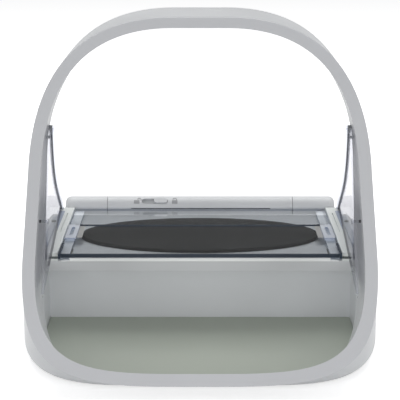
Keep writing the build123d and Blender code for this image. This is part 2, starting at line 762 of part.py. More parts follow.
pressure_angle = radians(20)
half_tooth = (pi * rack_module / 2 - tooth_slack) / 2
rack_pitch = pi * rack_module
for side, name in ((-1, "left_carriage"), (1, "right_carriage")):
    with BuildPart() as carriage:
        with BuildSketch(Plane.YZ.offset(rack_x - gear_width / 2)):
            start_y = lid_front_y + 4
            end_y = lid_rear_y
            tip_z = rack_pitch_z - addendum
            root_z = rack_pitch_z + dedendum
            half_tip = half_tooth - addendum * tan(pressure_angle)
            half_root = half_tooth + dedendum * tan(pressure_angle)
            first = int((start_y - drive_y) / rack_pitch)
            last = int((end_y - drive_y) / rack_pitch) - 1
            outline = [(start_y, lid_bottom), (start_y, root_z)]
            for tooth in range(first, last + 1):
                y = drive_y + tooth * rack_pitch
                outline += [(y - half_root, root_z), (y - half_tip, tip_z)]
                outline += [(y + half_tip, tip_z), (y + half_root, root_z)]
            outline += [(end_y, root_z), (end_y, lid_bottom)]
            with BuildLine():
                Polyline(*outline, close=True)
            make_face()
        extrude(amount=gear_width)
        slab((rack_x + gear_width / 2, lid_front_y, tongue_low), (lid_half, lid_rear_y, lid_bottom))
        slab(
            (lid_half, lid_rear_y - tongue_length, tongue_low),
            (tongue_x, lid_rear_y, tongue_low + tongue_thickness),
        )
        if side < 0:
            mirror(about=Plane.YZ, mode=Mode.REPLACE)
    finish(carriage, name)


def gear_face(x, y, z, teeth, bore, tooth_on_top):
    """A spur gear's face in the plane across its axis, with involute flanks."""
    radius = rack_module * teeth / 2
    base = radius * cos(pressure_angle)
    root = radius - dedendum
    tip = radius + addendum
    start = max(base, root + 0.01)
    radii = [start + (tip - start) * step / 3 for step in range(4)]
    spread = half_tooth / radius + tan(pressure_angle) - pressure_angle
    flank = [(root, spread)]
    for ring in radii:
        roll = (max(ring * ring - base * base, 0)) ** 0.5 / base
        flank.append((ring, spread - (roll - atan(roll))))
    points = []
    phase = pi / 2 if tooth_on_top else pi / 2 + pi / teeth
    for tooth in range(teeth):
        middle = phase + 2 * pi * tooth / teeth
        points += [(ring * cos(middle - half), ring * sin(middle - half)) for ring, half in flank]
        points += [(ring * cos(middle + half), ring * sin(middle + half)) for ring, half in reversed(flank)]
    with BuildSketch(Plane(origin=(x, y, z), x_dir=(0, 1, 0), z_dir=(1, 0, 0))) as face:
        with BuildLine():
            Polyline(*points, close=True)
        make_face()
        Circle(bore, mode=Mode.SUBTRACT)
    return face.sketch


# ---------------------------------------------------------------- the lid's drive
gear_low_x = rack_x - gear_width / 2
for side, name in ((-1, "left_idler"), (1, "right_idler")):
    with BuildPart() as idler:
        x = gear_low_x + 0.2 if side > 0 else -rack_x - gear_width / 2 + 0.2
        add(gear_face(x, drive_y, idler_z, idler_teeth, shaft_radius + running_fit, False))
        extrude(amount=gear_width - 0.4, dir=(1, 0, 0))
    finish(idler, name)

with BuildPart() as end_gears:
    for x in (gear_low_x + 0.2, -rack_x - gear_width / 2 + 0.2):
        add(gear_face(x, drive_y, shaft_z, idler_teeth, shaft_radius + 0.02, True))
    extrude(amount=gear_width - 0.4, dir=(1, 0, 0))
finish(end_gears, "end_gears")

with BuildPart() as drive_gear:
    add(gear_face(-gear_width / 2, drive_y, shaft_z, drive_gear_teeth, shaft_radius + 0.02, True))
    extrude(amount=gear_width, dir=(1, 0, 0))
finish(drive_gear, "drive_gear")

post_outer_x = rack_x + gear_width / 2 + 4
with BuildPart() as cross_shaft:
    rod((-post_outer_x, drive_y, shaft_z), (1, 0, 0), shaft_radius, 2 * post_outer_x)
finish(cross_shaft, "cross_shaft")

spindle_radius = 1.0
with BuildPart() as motor_pinion:
    add(gear_face(-gear_width / 2, motor_y, shaft_z, motor_pinion_teeth, spindle_radius + 0.02, False))
    extrude(amount=gear_width, dir=(1, 0, 0))
finish(motor_pinion, "motor_pinion")

motor_x = gear_width / 2 + 2.5
with BuildPart() as motor_spindle:
    rod((-gear_width / 2 - 0.5, motor_y, shaft_z), (1, 0, 0), spindle_radius, motor_x + gear_width / 2 + 5)
finish(motor_spindle, "motor_spindle")

with BuildPart() as motor:
    rod((motor_x, motor_y, shaft_z), (1, 0, 0), motor_radius, motor_length)
    chamfer(motor.edges().filter_by(GeomType.CIRCLE), length=0.8)
    rod((motor_x - 1, motor_y, shaft_z), (1, 0, 0), spindle_radius + running_fit, 6.5, mode=Mode.SUBTRACT)
finish(motor, "motor")

with BuildPart() as motor_cradle:
    slab((motor_x + 3, motor_y - 8.5, floor_top), (motor_x + motor_length - 3, motor_y + 8.5, shaft_z - 4))
    rod((motor_x, motor_y, shaft_z), (1, 0, 0), motor_radius + 0.1, motor_length, mode=Mode.SUBTRACT)
finish(motor_cradle, "motor_cradle")

deck_underside = deck_height - wall
with BuildPart() as shaft_posts:
    for x in (-gear_low_x + 2.3, gear_low_x - 2.3, -post_outer_x + 1.3, post_outer_x - 1.3):
        slab((x - 1.3, drive_y - 4, floor_top), (x + 1.3, drive_y + 4, deck_underside))
        rod((x - 3, drive_y, shaft_z), (1, 0, 0), shaft_radius + running_fit, 6, mode=Mode.SUBTRACT)
        rod((x - 3, drive_y, idler_z), (1, 0, 0), shaft_radius + 0.05, 6, mode=Mode.SUBTRACT)
    for x in (-12, 12):
        slab((x - 2, drive_y - 4, floor_top), (x + 2, drive_y + 4, shaft_z + 4))
        rod((x - 3, drive_y, shaft_z), (1, 0, 0), shaft_radius + running_fit, 6, mode=Mode.SUBTRACT)
finish(shaft_posts, "shaft_posts")

with BuildPart() as idler_axles:
    for low in (-post_outer_x + 0.2, gear_low_x - 3.4):
        rod((low, drive_y, idler_z), (1, 0, 0), shaft_radius, post_outer_x - gear_low_x + 3.2)
finish(idler_axles, "idler_axles")

# ---------------------------------------------------------------- batteries
tray_wall = 1.2
tray_floor = 2.6
tray_clearance = 3.4
cell_gap = 0.2
tray_inner_half = cell_length + 6.5
tray_front_y = ridge_y + tray_clearance
tray_top = hinge_z - barrel_radius - seat_gap - 0.2
first_row_y = tray_front_y + tray_wall + cell_gap + cell_radius
cell_rows = (first_row_y, first_row_y + 2 * (cell_radius + cell_gap))
tray_rear_y = cell_rows[1] + cell_radius + cell_gap + tray_wall
cell_z = floor_top + tray_floor + cell_radius + 0.1
with BuildPart() as battery_tray:
    slab(
        (-tray_inner_half - tray_wall, tray_front_y, floor_top),
        (tray_inner_half + tray_wall, tray_rear_y, tray_top),
    )
    slab(
        (-tray_inner_half, tray_front_y + tray_wall, floor_top + tray_floor),
        (tray_inner_half, tray_rear_y - tray_wall, tray_top),
        mode=Mode.SUBTRACT,
    )
finish(battery_tray, "battery_tray")

cell_number = 0
for y in cell_rows:
    for side in (-1, 1):
        cell_number += 1
        with BuildPart() as cell:
            start = 0.8 if side > 0 else -0.8 - cell_length
            rod((start, y, cell_z), (1, 0, 0), cell_radius, cell_length - 1.6)
            chamfer(cell.edges().filter_by(GeomType.CIRCLE), length=0.7)
            rod((start + cell_length - 1.6, y, cell_z), (1, 0, 0), 2.9, 1.6)
        finish(cell, "battery_cell_" + str(cell_number))

leaf = 0.5
with BuildPart() as battery_contacts:
    for side in (-1, 1):
        for y in cell_rows:
            plate_x = side * tray_inner_half
            tip_x = side * (cell_length + 1.2)
            with BuildSketch(Plane.XY.offset(cell_z - 5)):
                with BuildLine():
                    Polyline(
                        (plate_x, y - 8),
                        (plate_x - side * leaf, y - 8),
                        (tip_x, y),
                        (plate_x - side * leaf, y + 8),
                        (plate_x, y + 8),
                        (plate_x - side * leaf, y + 7),
                        (tip_x + side * leaf, y),
                        (plate_x - side * leaf, y - 7),
                        close=True,
                    )
                make_face()
            extrude(amount=10)
finish(battery_contacts, "battery_contacts")

# ---------------------------------------------------------------- electronics and buttons
board_low = (-66.0, drive_y + 30, floor_top + 5)
board_high = (-12.0, drive_y + 88, floor_top + 6.6)
with BuildPart() as main_board:
    slab(board_low, board_high)
finish(main_board, "main_board")

with BuildPart() as board_posts:
    for x in (board_low[0] + 4, board_high[0] - 4):
        for y in (board_low[1] + 4, board_high[1] - 4):
            rod((x, y, floor_top), (0, 0, 1), 2.5, board_low[2] - floor_top)
finish(board_posts, "board_posts")

with BuildPart() as board_parts:
    slab((-52, drive_y + 42, board_high[2]), (-40, drive_y + 54, board_high[2] + 1.4))
    slab((-34, drive_y + 60, board_high[2]), (-26, drive_y + 70, board_high[2] + 1.2))
    slab((-62, drive_y + 70, board_high[2]), (-46, drive_y + 76, board_high[2] + 8))
    slab((-30, drive_y + 36, board_high[2]), (-18, drive_y + 44, board_high[2] + 7))
finish(board_parts, "board_parts")

with BuildPart() as lid_switches:
    for y in (drive_y + 20, lid_rear_y - 12):
        slab((gear_low_x - 16, y - 5, deck_underside - 8), (gear_low_x - 8, y + 5, deck_underside))
finish(lid_switches, "lid_switches")

button_board_y = rear_y - wall - 6.2
with BuildPart() as button_board:
    slab(
        (button_xs[0] - 15, button_board_y - 1.6, button_z - 9),
        (button_xs[-1] + 8, button_board_y, button_z + 8.6),
    )
    for x in button_xs:
        slab((x - 3, button_board_y, button_z - 3), (x + 3, button_board_y + 1.2, button_z + 3))
    rod((button_xs[0] - 12, button_board_y, button_z), (0, 1, 0), 1.4, 3)
finish(button_board, "button_board")

with BuildPart() as button_board_posts:
    for x in (button_xs[0] - 13, button_xs[-1] + 6):
        slab((x - 2, button_board_y - 1.6, floor_top), (x + 2, button_board_y, button_z - 9))
finish(button_board_posts, "button_board_posts")

for x, name in zip(button_xs, ("add_pet_button", "open_button", "training_button")):
    with BuildPart() as button:
        inner_y = button_board_y + 1.2 + button_travel + 0.1
        flange_y = rear_y - wall - 0.2
        rod((x, inner_y, button_z), (0, 1, 0), 2.2, flange_y - inner_y)
        rod((x, flange_y - button_flange, button_z), (0, 1, 0), button_radius + 1.2, button_flange)
        rod((x, flange_y, button_z), (0, 1, 0), button_radius, rear_y - flange_y)
        fillet(button.faces().sort_by(Axis.Y)[-1].edges(), radius=0.6)
    finish(button, name)

with BuildPart() as light_window:
    rod((button_xs[0] - 12, rear_y - wall - 1.5, button_z), (0, 1, 0), 1.5, wall + 1.5)
finish(light_window, "light_window")
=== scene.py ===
# %% [markdown]
# # A microchip pet feeder, dressed for its portrait
# The feeder's solids come in as a fixed frame: every piece already has its place and its real
# size in metres. This script adds what a solid lacks, which is the finish of each surface and
# the small forms that only the eye needs. Front is -Y, the pet's right is +X and +Z is up.
# Places on the feeder are written in millimetres, and those of the camera, the lamps and the
# staging in metres.

# %% Load the frame
import math

import bmesh
import bpy
from mathutils import Matrix, Vector


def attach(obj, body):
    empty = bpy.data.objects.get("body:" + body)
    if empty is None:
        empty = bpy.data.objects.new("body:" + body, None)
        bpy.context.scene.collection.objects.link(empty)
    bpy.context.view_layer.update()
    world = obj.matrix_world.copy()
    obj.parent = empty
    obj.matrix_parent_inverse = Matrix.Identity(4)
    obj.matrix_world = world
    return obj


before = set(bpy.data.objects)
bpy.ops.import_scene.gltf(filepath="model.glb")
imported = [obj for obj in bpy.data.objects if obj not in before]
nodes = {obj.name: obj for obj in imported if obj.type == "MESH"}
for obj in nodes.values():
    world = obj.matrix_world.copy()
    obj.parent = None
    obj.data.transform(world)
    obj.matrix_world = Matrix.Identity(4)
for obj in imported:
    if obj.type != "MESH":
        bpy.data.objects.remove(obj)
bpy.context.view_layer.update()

MM = 0.001
print("pieces in the frame:", len(nodes))

# %% [markdown]
# ## The camera
# The photograph looks at the feeder's front from a little above. A camera can be placed by eye,
# or worked out from outlines whose real size is known. The second way was used: the pitch, the
# distance and the focal length below put the hoop, the bay and the rear ridge where the
# photograph has them. A camera that isn't turned looks straight down, so a quarter turn about X
# brings it level, and the pitch then comes off that.

# %% Camera
PHOTO_SIDE = 400
FOCAL_PIXELS = 1283.45
PITCH = math.radians(14)
EYE = (0, -0.8613, 0.295)
SENSOR = 36

camera_data = bpy.data.cameras.new("camera")
camera_data.sensor_width = SENSOR
camera_data.lens = SENSOR * FOCAL_PIXELS / PHOTO_SIDE
camera = bpy.data.objects.new("camera", camera_data)
camera.location = EYE
camera.rotation_euler = (math.pi / 2 - PITCH, 0, 0)
bpy.context.scene.collection.objects.link(camera)
bpy.context.scene.camera = camera
print("lens", round(camera_data.lens, 1), "mm")

# %% [markdown]
# ## Helpers for node networks
# Light and finishes are both small networks of nodes. Each node could be made in full where it
# is used, but that takes four or five lines every time. The few helpers below make the nodes
# that come back again and again, and take a number, a colour or another node's output alike.

# %% Helpers for all networks
def feed(tree, value, socket):
    """Give a socket a number, a colour of three parts, or another node's output."""
    if isinstance(value, tuple):
        socket.default_value = (*value, 1)
    elif isinstance(value, (int, float)):
        socket.default_value = value
    else:
        tree.links.new(value, socket)


def work_out(tree, operation, first, second=0):
    """The result of a Math node on two values."""
    node = tree.nodes.new("ShaderNodeMath")
    node.operation = operation
    feed(tree, first, node.inputs[0])
    feed(tree, second, node.inputs[1])
    return node.outputs[0]


def mix_shaders(tree, share, first, second, surface):
    """Show two shaders on a surface, the second by its share and the first for the rest."""
    mix = tree.nodes.new("ShaderNodeMixShader")
    feed(tree, share, mix.inputs["Fac"])
    feed(tree, first.outputs[0], mix.inputs[1])
    feed(tree, second.outputs[0], mix.inputs[2])
    feed(tree, mix.outputs[0], surface)


def new_material(name):
    """A node material and its Principled shader."""
    material = bpy.data.materials.new(name)
    material.use_nodes = True
    return material, material.node_tree.nodes["Principled BSDF"]


print("helpers for networks ready")

# %% [markdown]
# ## The room
# A pack shot on white has a bright room all round and no hard shadow. The room could be many
# lamps, but a world colour does it with less noise. One colour can't do both jobs, though: what
# looks white behind the feeder would wash out its pale plastic. So the world is pure white
# where it is seen, and dimmer and a touch bluish where it only lights.

# %% Room
ROOM_WHITE = (1, 1, 1)
ROOM_DAYLIGHT = (0.985, 0.99, 1)
ROOM_LIGHT = 0.41


def seen_directly(tree):
    """A number that is 1 for the eye, in reflections and through clear plastic, else 0."""
    path = tree.nodes.new("ShaderNodeLightPath")
    seen = path.outputs["Is Camera Ray"]
    for ray in ("Is Glossy Ray", "Is Transmission Ray"):
        seen = work_out(tree, "MAXIMUM", seen, path.outputs[ray])
    return seen


def background(tree, colour, strength):
    """A plain world colour at a strength."""
    node = tree.nodes.new("ShaderNodeBackground")
    feed(tree, colour, node.inputs["Color"])
    feed(tree, strength, node.inputs["Strength"])
    return node


def white_room():
    """A white room for the eye and for reflections, and a gentler one for lighting."""
    world = bpy.data.worlds.new("white_room")
    world.use_nodes = True
    tree = world.node_tree
    tree.nodes.clear()
    output = tree.nodes.new("ShaderNodeOutputWorld")
    lighting = background(tree, ROOM_DAYLIGHT, ROOM_LIGHT)
    seen = background(tree, ROOM_WHITE, 1)
    mix_shaders(tree, seen_directly(tree), lighting, seen, output.inputs["Surface"])
    bpy.context.scene.world = world


white_room()
print("room light", ROOM_LIGHT, "of the white that is seen")

# %% [markdown]
# ## The lamps
# One large soft lamp stands above and behind the feeder, so that it lights top faces and not
# front ones. Three more stand low in front. The middle one reaches deep into the bowl bay, and
# each outer one lights the opposite inner wall of the hoop. The room alone would leave both
# dark. Small lamps would do it too, but only large ones leave no hard shadow.

# %% Lamps
FEEDER_MIDDLE = (0, 0, 0.05)
HOOP_MIDDLE = (0, 0, 0.09)
LAMPS = {
    # name: (place, aim, width and height, watts)
    "top_softbox": ((0, 0.75, 1.3), FEEDER_MIDDLE, (1.7, 1.2), 17.5),
    "left_softbox": ((-1.3, -1.45, 0.34), HOOP_MIDDLE, (1.0, 0.6), 6.0),
    "right_softbox": ((1.3, -1.45, 0.34), HOOP_MIDDLE, (1.0, 0.6), 6.0),
    "front_softbox": ((0, -1.8, 0.28), HOOP_MIDDLE, (1.0, 0.5), 4.2),
}


def soft_lamp(name, place, aim, size, watts):
    """A rectangular soft box at a place, aimed at a point."""
    data = bpy.data.lights.new(name, "AREA")
    data.shape = "RECTANGLE"
    data.size, data.size_y = size
    data.energy = watts
    lamp = bpy.data.objects.new(name, data)
    lamp.location = place
    lamp.rotation_euler = (Vector(aim) - Vector(place)).to_track_quat("-Z", "Y").to_euler()
    bpy.context.scene.collection.objects.link(lamp)


for name, (place, aim, size, watts) in LAMPS.items():
    soft_lamp(name, place, aim, size, watts)
    print(name, watts, "W")

# %% [markdown]
# ## The floor
# In the photograph the floor runs into the white behind the feeder with no line between them.
# A plain white floor would turn grey far away, where the lamps hardly reach. A brighter lamp
# would mend that and spoil the feeder. So the paper also glows a little, but only for the eye
# and in reflections. It throws no glow on the feeder's dull surfaces.

# %% Floor
FLOOR_HALF = 4.0
PAPER_WHITE = (0.82, 0.82, 0.82)
PAPER_GLOW = 0.6


def square_sheet(name, half):
    """A flat square in the XY plane, as a staging object."""
    mesh = bpy.data.meshes.new(name)
    bm = bmesh.new()
    bmesh.ops.create_grid(bm, x_segments=1, y_segments=1, size=half)
    bm.to_mesh(mesh)
    bm.free()
    sheet = bpy.data.objects.new(name, mesh)
    bpy.context.scene.collection.objects.link(sheet)
    return sheet


def white_paper():
    """White paper that also glows a little for the eye, so that it stays white far away."""
    paper, _ = new_material("white_paper")
    tree = paper.node_tree
    tree.nodes.clear()
    output = tree.nodes.new("ShaderNodeOutputMaterial")
    diffuse = tree.nodes.new("ShaderNodeBsdfDiffuse")
    feed(tree, PAPER_WHITE, diffuse.inputs["Color"])
    glow = tree.nodes.new("ShaderNodeEmission")
    strength = work_out(tree, "MULTIPLY", seen_directly(tree), PAPER_GLOW)
    feed(tree, strength, glow.inputs["Strength"])
    both = tree.nodes.new("ShaderNodeAddShader")
    feed(tree, diffuse.outputs[0], both.inputs[0])
    feed(tree, glow.outputs[0], both.inputs[1])
    feed(tree, both.outputs[0], output.inputs["Surface"])
    return paper


floor = square_sheet("floor", FLOOR_HALF)
floor.data.materials.append(white_paper())
bpy.context.scene.view_settings.view_transform = "Standard"
print("floor", 2 * FLOOR_HALF, "m square")

# %% [markdown]
# ## A black card
# The lid is a sheet of clear plastic seen at a low angle, so it mirrors whatever stands behind
# the feeder. In a white room that would be a milky film over the dark oval. A photographer
# hangs a black card there, just out of the picture. So does this scene: the card stands behind
# and above the view, and only reflections see it.

# %% Black card
CARD_HALF = 1.3
CARD_Y = 1.2
CARD_FOOT = 0.31
VELVET_BLACK = (0.03, 0.03, 0.03)

card = square_sheet("black_card", CARD_HALF)
stand_up = Matrix.Rotation(math.radians(90), 4, "X")
card.data.transform(Matrix.Translation((0, CARD_Y, CARD_FOOT + CARD_HALF)) @ stand_up)
velvet, velvet_shader = new_material("velvet")
feed(velvet.node_tree, VELVET_BLACK, velvet_shader.inputs["Base Color"])
card.data.materials.append(velvet)
card.visible_camera = False
card.visible_diffuse = False
card.visible_transmission = False
card.visible_shadow = False
print("card from", CARD_FOOT, "to", CARD_FOOT + 2 * CARD_HALF, "m above the floor")

# %% [markdown]
# ## Uneven surfaces
# Moulded plastic is never one flat colour. The tool that moulded it was spark-eroded, which
# leaves a fine even grain, and the flow of the melt leaves faint cloudy patches. Both can be
# painted, but noise textures on Object coordinates give them at their real scale on every piece
# with no seams. A noise is a number, so it takes a ramp to turn it into a colour, and a spread
# to turn it into a gloss.

# %% Noise, ramp and spread
NOISE_LOW, NOISE_HIGH = 0.3, 0.7     # most of a noise lies between these


def noise(tree, per_metre, detail):
    """A noise on Object coordinates, with so many patches to a metre."""
    place = tree.nodes.new("ShaderNodeTexCoord")
    texture = tree.nodes.new("ShaderNodeTexNoise")
    feed(tree, per_metre, texture.inputs["Scale"])
    feed(tree, detail, texture.inputs["Detail"])
    feed(tree, place.outputs["Object"], texture.inputs["Vector"])
    return texture.outputs["Fac"]


def ramp(tree, factor, low, high):
    """A colour that runs from low to high as a noise rises."""
    node = tree.nodes.new("ShaderNodeValToRGB")
    for element, position, colour in zip(
        node.color_ramp.elements, (NOISE_LOW, NOISE_HIGH), (low, high)
    ):
        element.position = position
        element.color = (*colour, 1)
    feed(tree, factor, node.inputs["Fac"])
    return node.outputs["Color"]


def spread(tree, factor, low, high, start=NOISE_LOW, stop=NOISE_HIGH):
    """A number that runs from low to high as a factor goes from start to stop."""
    node = tree.nodes.new("ShaderNodeMapRange")
    feed(tree, start, node.inputs["From Min"])
    feed(tree, stop, node.inputs["From Max"])
    feed(tree, low, node.inputs["To Min"])
    feed(tree, high, node.inputs["To Max"])
    feed(tree, factor, node.inputs["Value"])
    return node.outputs["Result"]


def shaded(colour, shade):
    """A colour made darker by a factor."""
    return tuple(part * shade for part in colour)


print("noise, ramp and spread ready")

# %% [markdown]
# ## Regions with another finish
# Here and there one moulding has two finishes, such as a polished rim on a dull body, where the
# rim's paler colour is also a painted highlight. It could be cut in two, but then the pieces would
# no longer be the real ones. A mask leaves the piece whole: it reads where a point lies on the
# piece, and is 1 inside a box and 0 outside. Its borders are soft over a fraction of a millimetre,
# as a real change of polish is.

# %% Masks
MIX_FIRST, MIX_SECOND, MIX_RESULT = 6, 7, 2      # a Mix node's sockets for colours


def object_axes(tree):
    """A point's X, Y and Z on its object, in metres."""
    place = tree.nodes.new("ShaderNodeTexCoord")
    axes = tree.nodes.new("ShaderNodeSeparateXYZ")
    feed(tree, place.outputs["Object"], axes.inputs[0])
    return axes.outputs


def beyond(tree, along, border, soft, before=0, after=1):
    """A number that changes where a coordinate passes a border, given in millimetres."""
    return spread(tree, along, before, after, (border - soft) * MM, (border + soft) * MM)


def inside(tree, limits):
    """1 inside a box, else 0. Each axis has a low and a high limit and a softness."""
    axes = object_axes(tree)
    found = 1
    for axis, (low, high, soft) in limits.items():
        past_low = beyond(tree, axes[axis], low, soft)
        before_high = beyond(tree, axes[axis], high, soft, before=1, after=0)
        between = work_out(tree, "MULTIPLY", past_low, before_high)
        found = work_out(tree, "MULTIPLY", found, between)
    return found


def blend_colour(tree, factor, first, second):
    """A colour between two others."""
    node = tree.nodes.new("ShaderNodeMix")
    node.data_type = "RGBA"
    feed(tree, factor, node.inputs["Factor"])
    feed(tree, first, node.inputs[MIX_FIRST])
    feed(tree, second, node.inputs[MIX_SECOND])
    return node.outputs[MIX_RESULT]


print("masks ready")

# %% [markdown]
# ## Moulded plastic
# Nearly everything on the feeder is moulded: the shell, the liner, the mat, the rails and the
# gears. One recipe serves them all, and only colour, gloss and grain differ. A broad noise gives
# the clouds and a fine one the grain. The grain could be real relief, but at half a millimetre
# a bump is enough.

# %% Moulded plastic
CLOUDS_PER_METRE = 22
CLOUD_SHADE = 0.97           # the darkest clouds keep this much of the colour
CLOUD_GLOSS = 0.03           # how far the roughness goes to either side
SHELL_GRAIN = 1800           # grains to a metre
GRAIN_DEPTH = 0.00002        # in metres
GRAIN_STRENGTH = 0.35        # how much of that depth the bump shows


def moulded(name, colour, roughness, grain=SHELL_GRAIN, depth=GRAIN_DEPTH, marks=(), specular=0.5):
    """Moulded plastic or rubber: cloudy colour and gloss, a fine grain, and marked regions.

    A mark is (limits, colour, roughness) and changes the finish inside those limits.
    """
    material, shader = new_material(name)
    tree = material.node_tree
    clouds = noise(tree, CLOUDS_PER_METRE, detail=3)
    tone = ramp(tree, clouds, shaded(colour, CLOUD_SHADE), colour)
    gloss = spread(tree, clouds, roughness - CLOUD_GLOSS, roughness + CLOUD_GLOSS)
    for limits, mark_colour, mark_roughness in marks:
        here = inside(tree, limits)
        tone = blend_colour(tree, here, tone, mark_colour)
        change = work_out(tree, "MULTIPLY", here, mark_roughness - roughness)
        gloss = work_out(tree, "ADD", gloss, change)
    feed(tree, tone, shader.inputs["Base Color"])
    feed(tree, gloss, shader.inputs["Roughness"])
    feed(tree, specular, shader.inputs["Specular IOR Level"])
    bump = tree.nodes.new("ShaderNodeBump")
    feed(tree, GRAIN_STRENGTH, bump.inputs["Strength"])
    feed(tree, depth, bump.inputs["Distance"])
    feed(tree, noise(tree, grain, detail=1), bump.inputs["Height"])
    feed(tree, bump.outputs["Normal"], shader.inputs["Normal"])
    return material


print("recipe for moulded plastic ready")

# %% [markdown]
# The shelf that carries the lid ends in a rim over the bowl bay, and in the photograph the rim is
# a bright line. It belongs to the upper body, so it is a mark on the shell's plastic: a lower
# roughness, which is real polish, and a paler colour, which is a painted highlight. On the rails
# it is the outer flange that shines, with a bluish tone.

# %% Marked regions
SHELF_RIM = {"X": (-93, 93, 0.3), "Y": (-40, -34, 0.3), "Z": (47.0, 50.4, 0.2)}
# the rim's paler colour is a painted highlight, and its lower roughness is real polish
RIM_PAINTED_HIGHLIGHT = (0.95, 0.96, 0.96)
RIM_POLISH = 0.18
RIM_POLISH_AND_HIGHLIGHT = (SHELF_RIM, RIM_PAINTED_HIGHLIGHT, RIM_POLISH)

FLANGE_ACROSS = (101.6, 106.5)       # the flange's distance from the middle, left and right
FLANGE_ALONG = (-37, 75, 0.5)
FLANGE_UP = (47, 54, 0.5)
FLANGE_BLUE = (0.43, 0.48, 0.57)
FLANGE_POLISH = 0.16
near, far = FLANGE_ACROSS
FLANGE_MARKS = [
    ({"X": (low, high, 0.2), "Y": FLANGE_ALONG, "Z": FLANGE_UP}, FLANGE_BLUE, FLANGE_POLISH)
    for low, high in ((-far, -near), (near, far))
]
print("marks:", 1 + len(FLANGE_MARKS))

# %% [markdown]
# The colours below were found by comparing renders with the photograph, so each holds for the
# lamps above. The shell is a cool light grey. The bay's liner is a little paler, which is painted
# light that brightens the shaded bay, and the hoop's front face is a little darker, which is
# painted shade on the face that looks forward. The mat is a grey green rubber with a coarser
# grain. The oval badge and the seals are nearly black and have a weaker reflection than plain
# plastic, because the photograph shows them dark even at a low angle.

# %% Plastics that show
WEAK_REFLECTION = 0.3

# the shell's plastic carries the rim's painted highlight
housing_grey = moulded("housing_grey", (0.62, 0.632, 0.645), 0.4, marks=[RIM_POLISH_AND_HIGHLIGHT])
# the liner's paler grey is painted light in the deep bay
liner_grey_painted_light = moulded("liner_grey_painted_light", (0.69, 0.705, 0.725), 0.36)
# the hoop face's darker grey is painted shade
face_grey_painted_shade = moulded("face_grey_painted_shade", (0.545, 0.553, 0.572), 0.42)
pad_frost = moulded("pad_frost", (0.31, 0.31, 0.305), 0.3)
icon_grey = moulded("icon_grey", (0.33, 0.335, 0.345), 0.5)
rail_white = moulded("rail_white", (0.72, 0.75, 0.735), 0.3, marks=FLANGE_MARKS)
badge_black = moulded(
    "badge_black", (0.021, 0.0205, 0.019), 0.24, depth=0.000004, specular=WEAK_REFLECTION
)
mat_sage = moulded("mat_sage", (0.445, 0.485, 0.415), 0.5, grain=1400, depth=0.00004)
seal_blue = moulded("seal_blue", (0.028, 0.040, 0.060), 0.25, specular=WEAK_REFLECTION)
print("materials so far:", len(bpy.data.materials))

# %% [markdown]
# The rest of the plastics belong to pieces that the photograph hides, so their colours are
# plain guesses at what such pieces have: black feet, cream gears, a dark battery tray, grey
# buttons, a green board with black parts, and a dark wrap on the cells.

# %% Plastics out of sight
rubber_black = moulded("rubber_black", (0.03, 0.03, 0.03), 0.7)
gear_cream = moulded("gear_cream", (0.72, 0.70, 0.64), 0.4)
tray_grey = moulded("tray_grey", (0.10, 0.105, 0.11), 0.5)
button_grey = moulded("button_grey", (0.33, 0.35, 0.36), 0.45)
board_green = moulded("board_green", (0.02, 0.12, 0.05), 0.35)
chip_black = moulded("chip_black", (0.02, 0.02, 0.02), 0.4)
cell_wrap = moulded("cell_wrap", (0.05, 0.06, 0.07), 0.25)
print("materials so far:", len(bpy.data.materials))

# %% [markdown]
# ## Clear plastic
# The lid, the side wings and the light's window are clear, and the carriages, the brackets and
# the lid's clips are milky. A glass shader would bend every ray, and a thin sheet seen along its
# face then turns dull grey. Thin clear sheets look truer as a mix: mostly a Transparent shader
# with a tint, and a mirror whose share grows towards grazing angles as real gloss does. The
# edges of such a sheet gather colour, so faces that stand across the sheet get a deeper tint
# and a little body.

# %% Helpers for clear plastic
REST_GLOSS = 0.035           # the mirror's share when the sheet is seen face on
GRAZING_GLOSS = 1.5          # what a grazing view adds to it
GLOSS_POWER = 5              # how late that gain comes
EDGE_BELOW = 0.55            # with less of its normal along the sheet's axis, a surface is an edge
FACE_ABOVE = 0.8             # and with more than this, it is a broad face


def edge_mask(tree, across):
    """1 on the edges of a sheet whose broad faces look along an axis, 0 on those faces."""
    place = tree.nodes.new("ShaderNodeTexCoord")
    facing = tree.nodes.new("ShaderNodeVectorMath")
    facing.operation = "DOT_PRODUCT"
    facing.inputs[1].default_value = across
    feed(tree, place.outputs["Normal"], facing.inputs[0])
    flatness = work_out(tree, "ABSOLUTE", facing.outputs["Value"])
    return spread(tree, flatness, 1, 0, EDGE_BELOW, FACE_ABOVE)


def mirror_share(tree, grazing, body):
    """The share of light that a face sends back, which grows towards a grazing view."""
    angle = tree.nodes.new("ShaderNodeLayerWeight")
    steep = work_out(tree, "POWER", angle.outputs["Facing"], GLOSS_POWER)
    gain = work_out(tree, "MULTIPLY", steep, grazing)
    return work_out(tree, "ADD", gain, REST_GLOSS + body)


def nearer_skin(tree):
    """1 where a surface is seen from outside. A sheet has two skins, and only one counts."""
    side = tree.nodes.new("ShaderNodeNewGeometry")
    return work_out(tree, "SUBTRACT", 1, side.outputs["Backfacing"])


print("helpers for clear plastic ready")

# %% [markdown]
# The recipe puts those together. A broad face that sends light back is a mirror, so it is
# metallic. A milky plastic scatters light instead, so it keeps a body of its own and no metal.

# %% Clear plastic
HAZE_PER_METRE = 30
HAZE_GLOSS = 0.03            # what the haze adds to the roughness
# a dark line's colour and how solid it looks: painted shade along an edge
EDGE_SHADE_DARK = (0.14, 0.145, 0.17)
EDGE_SHADE_BODY = 0.75             # how solid a dark line looks


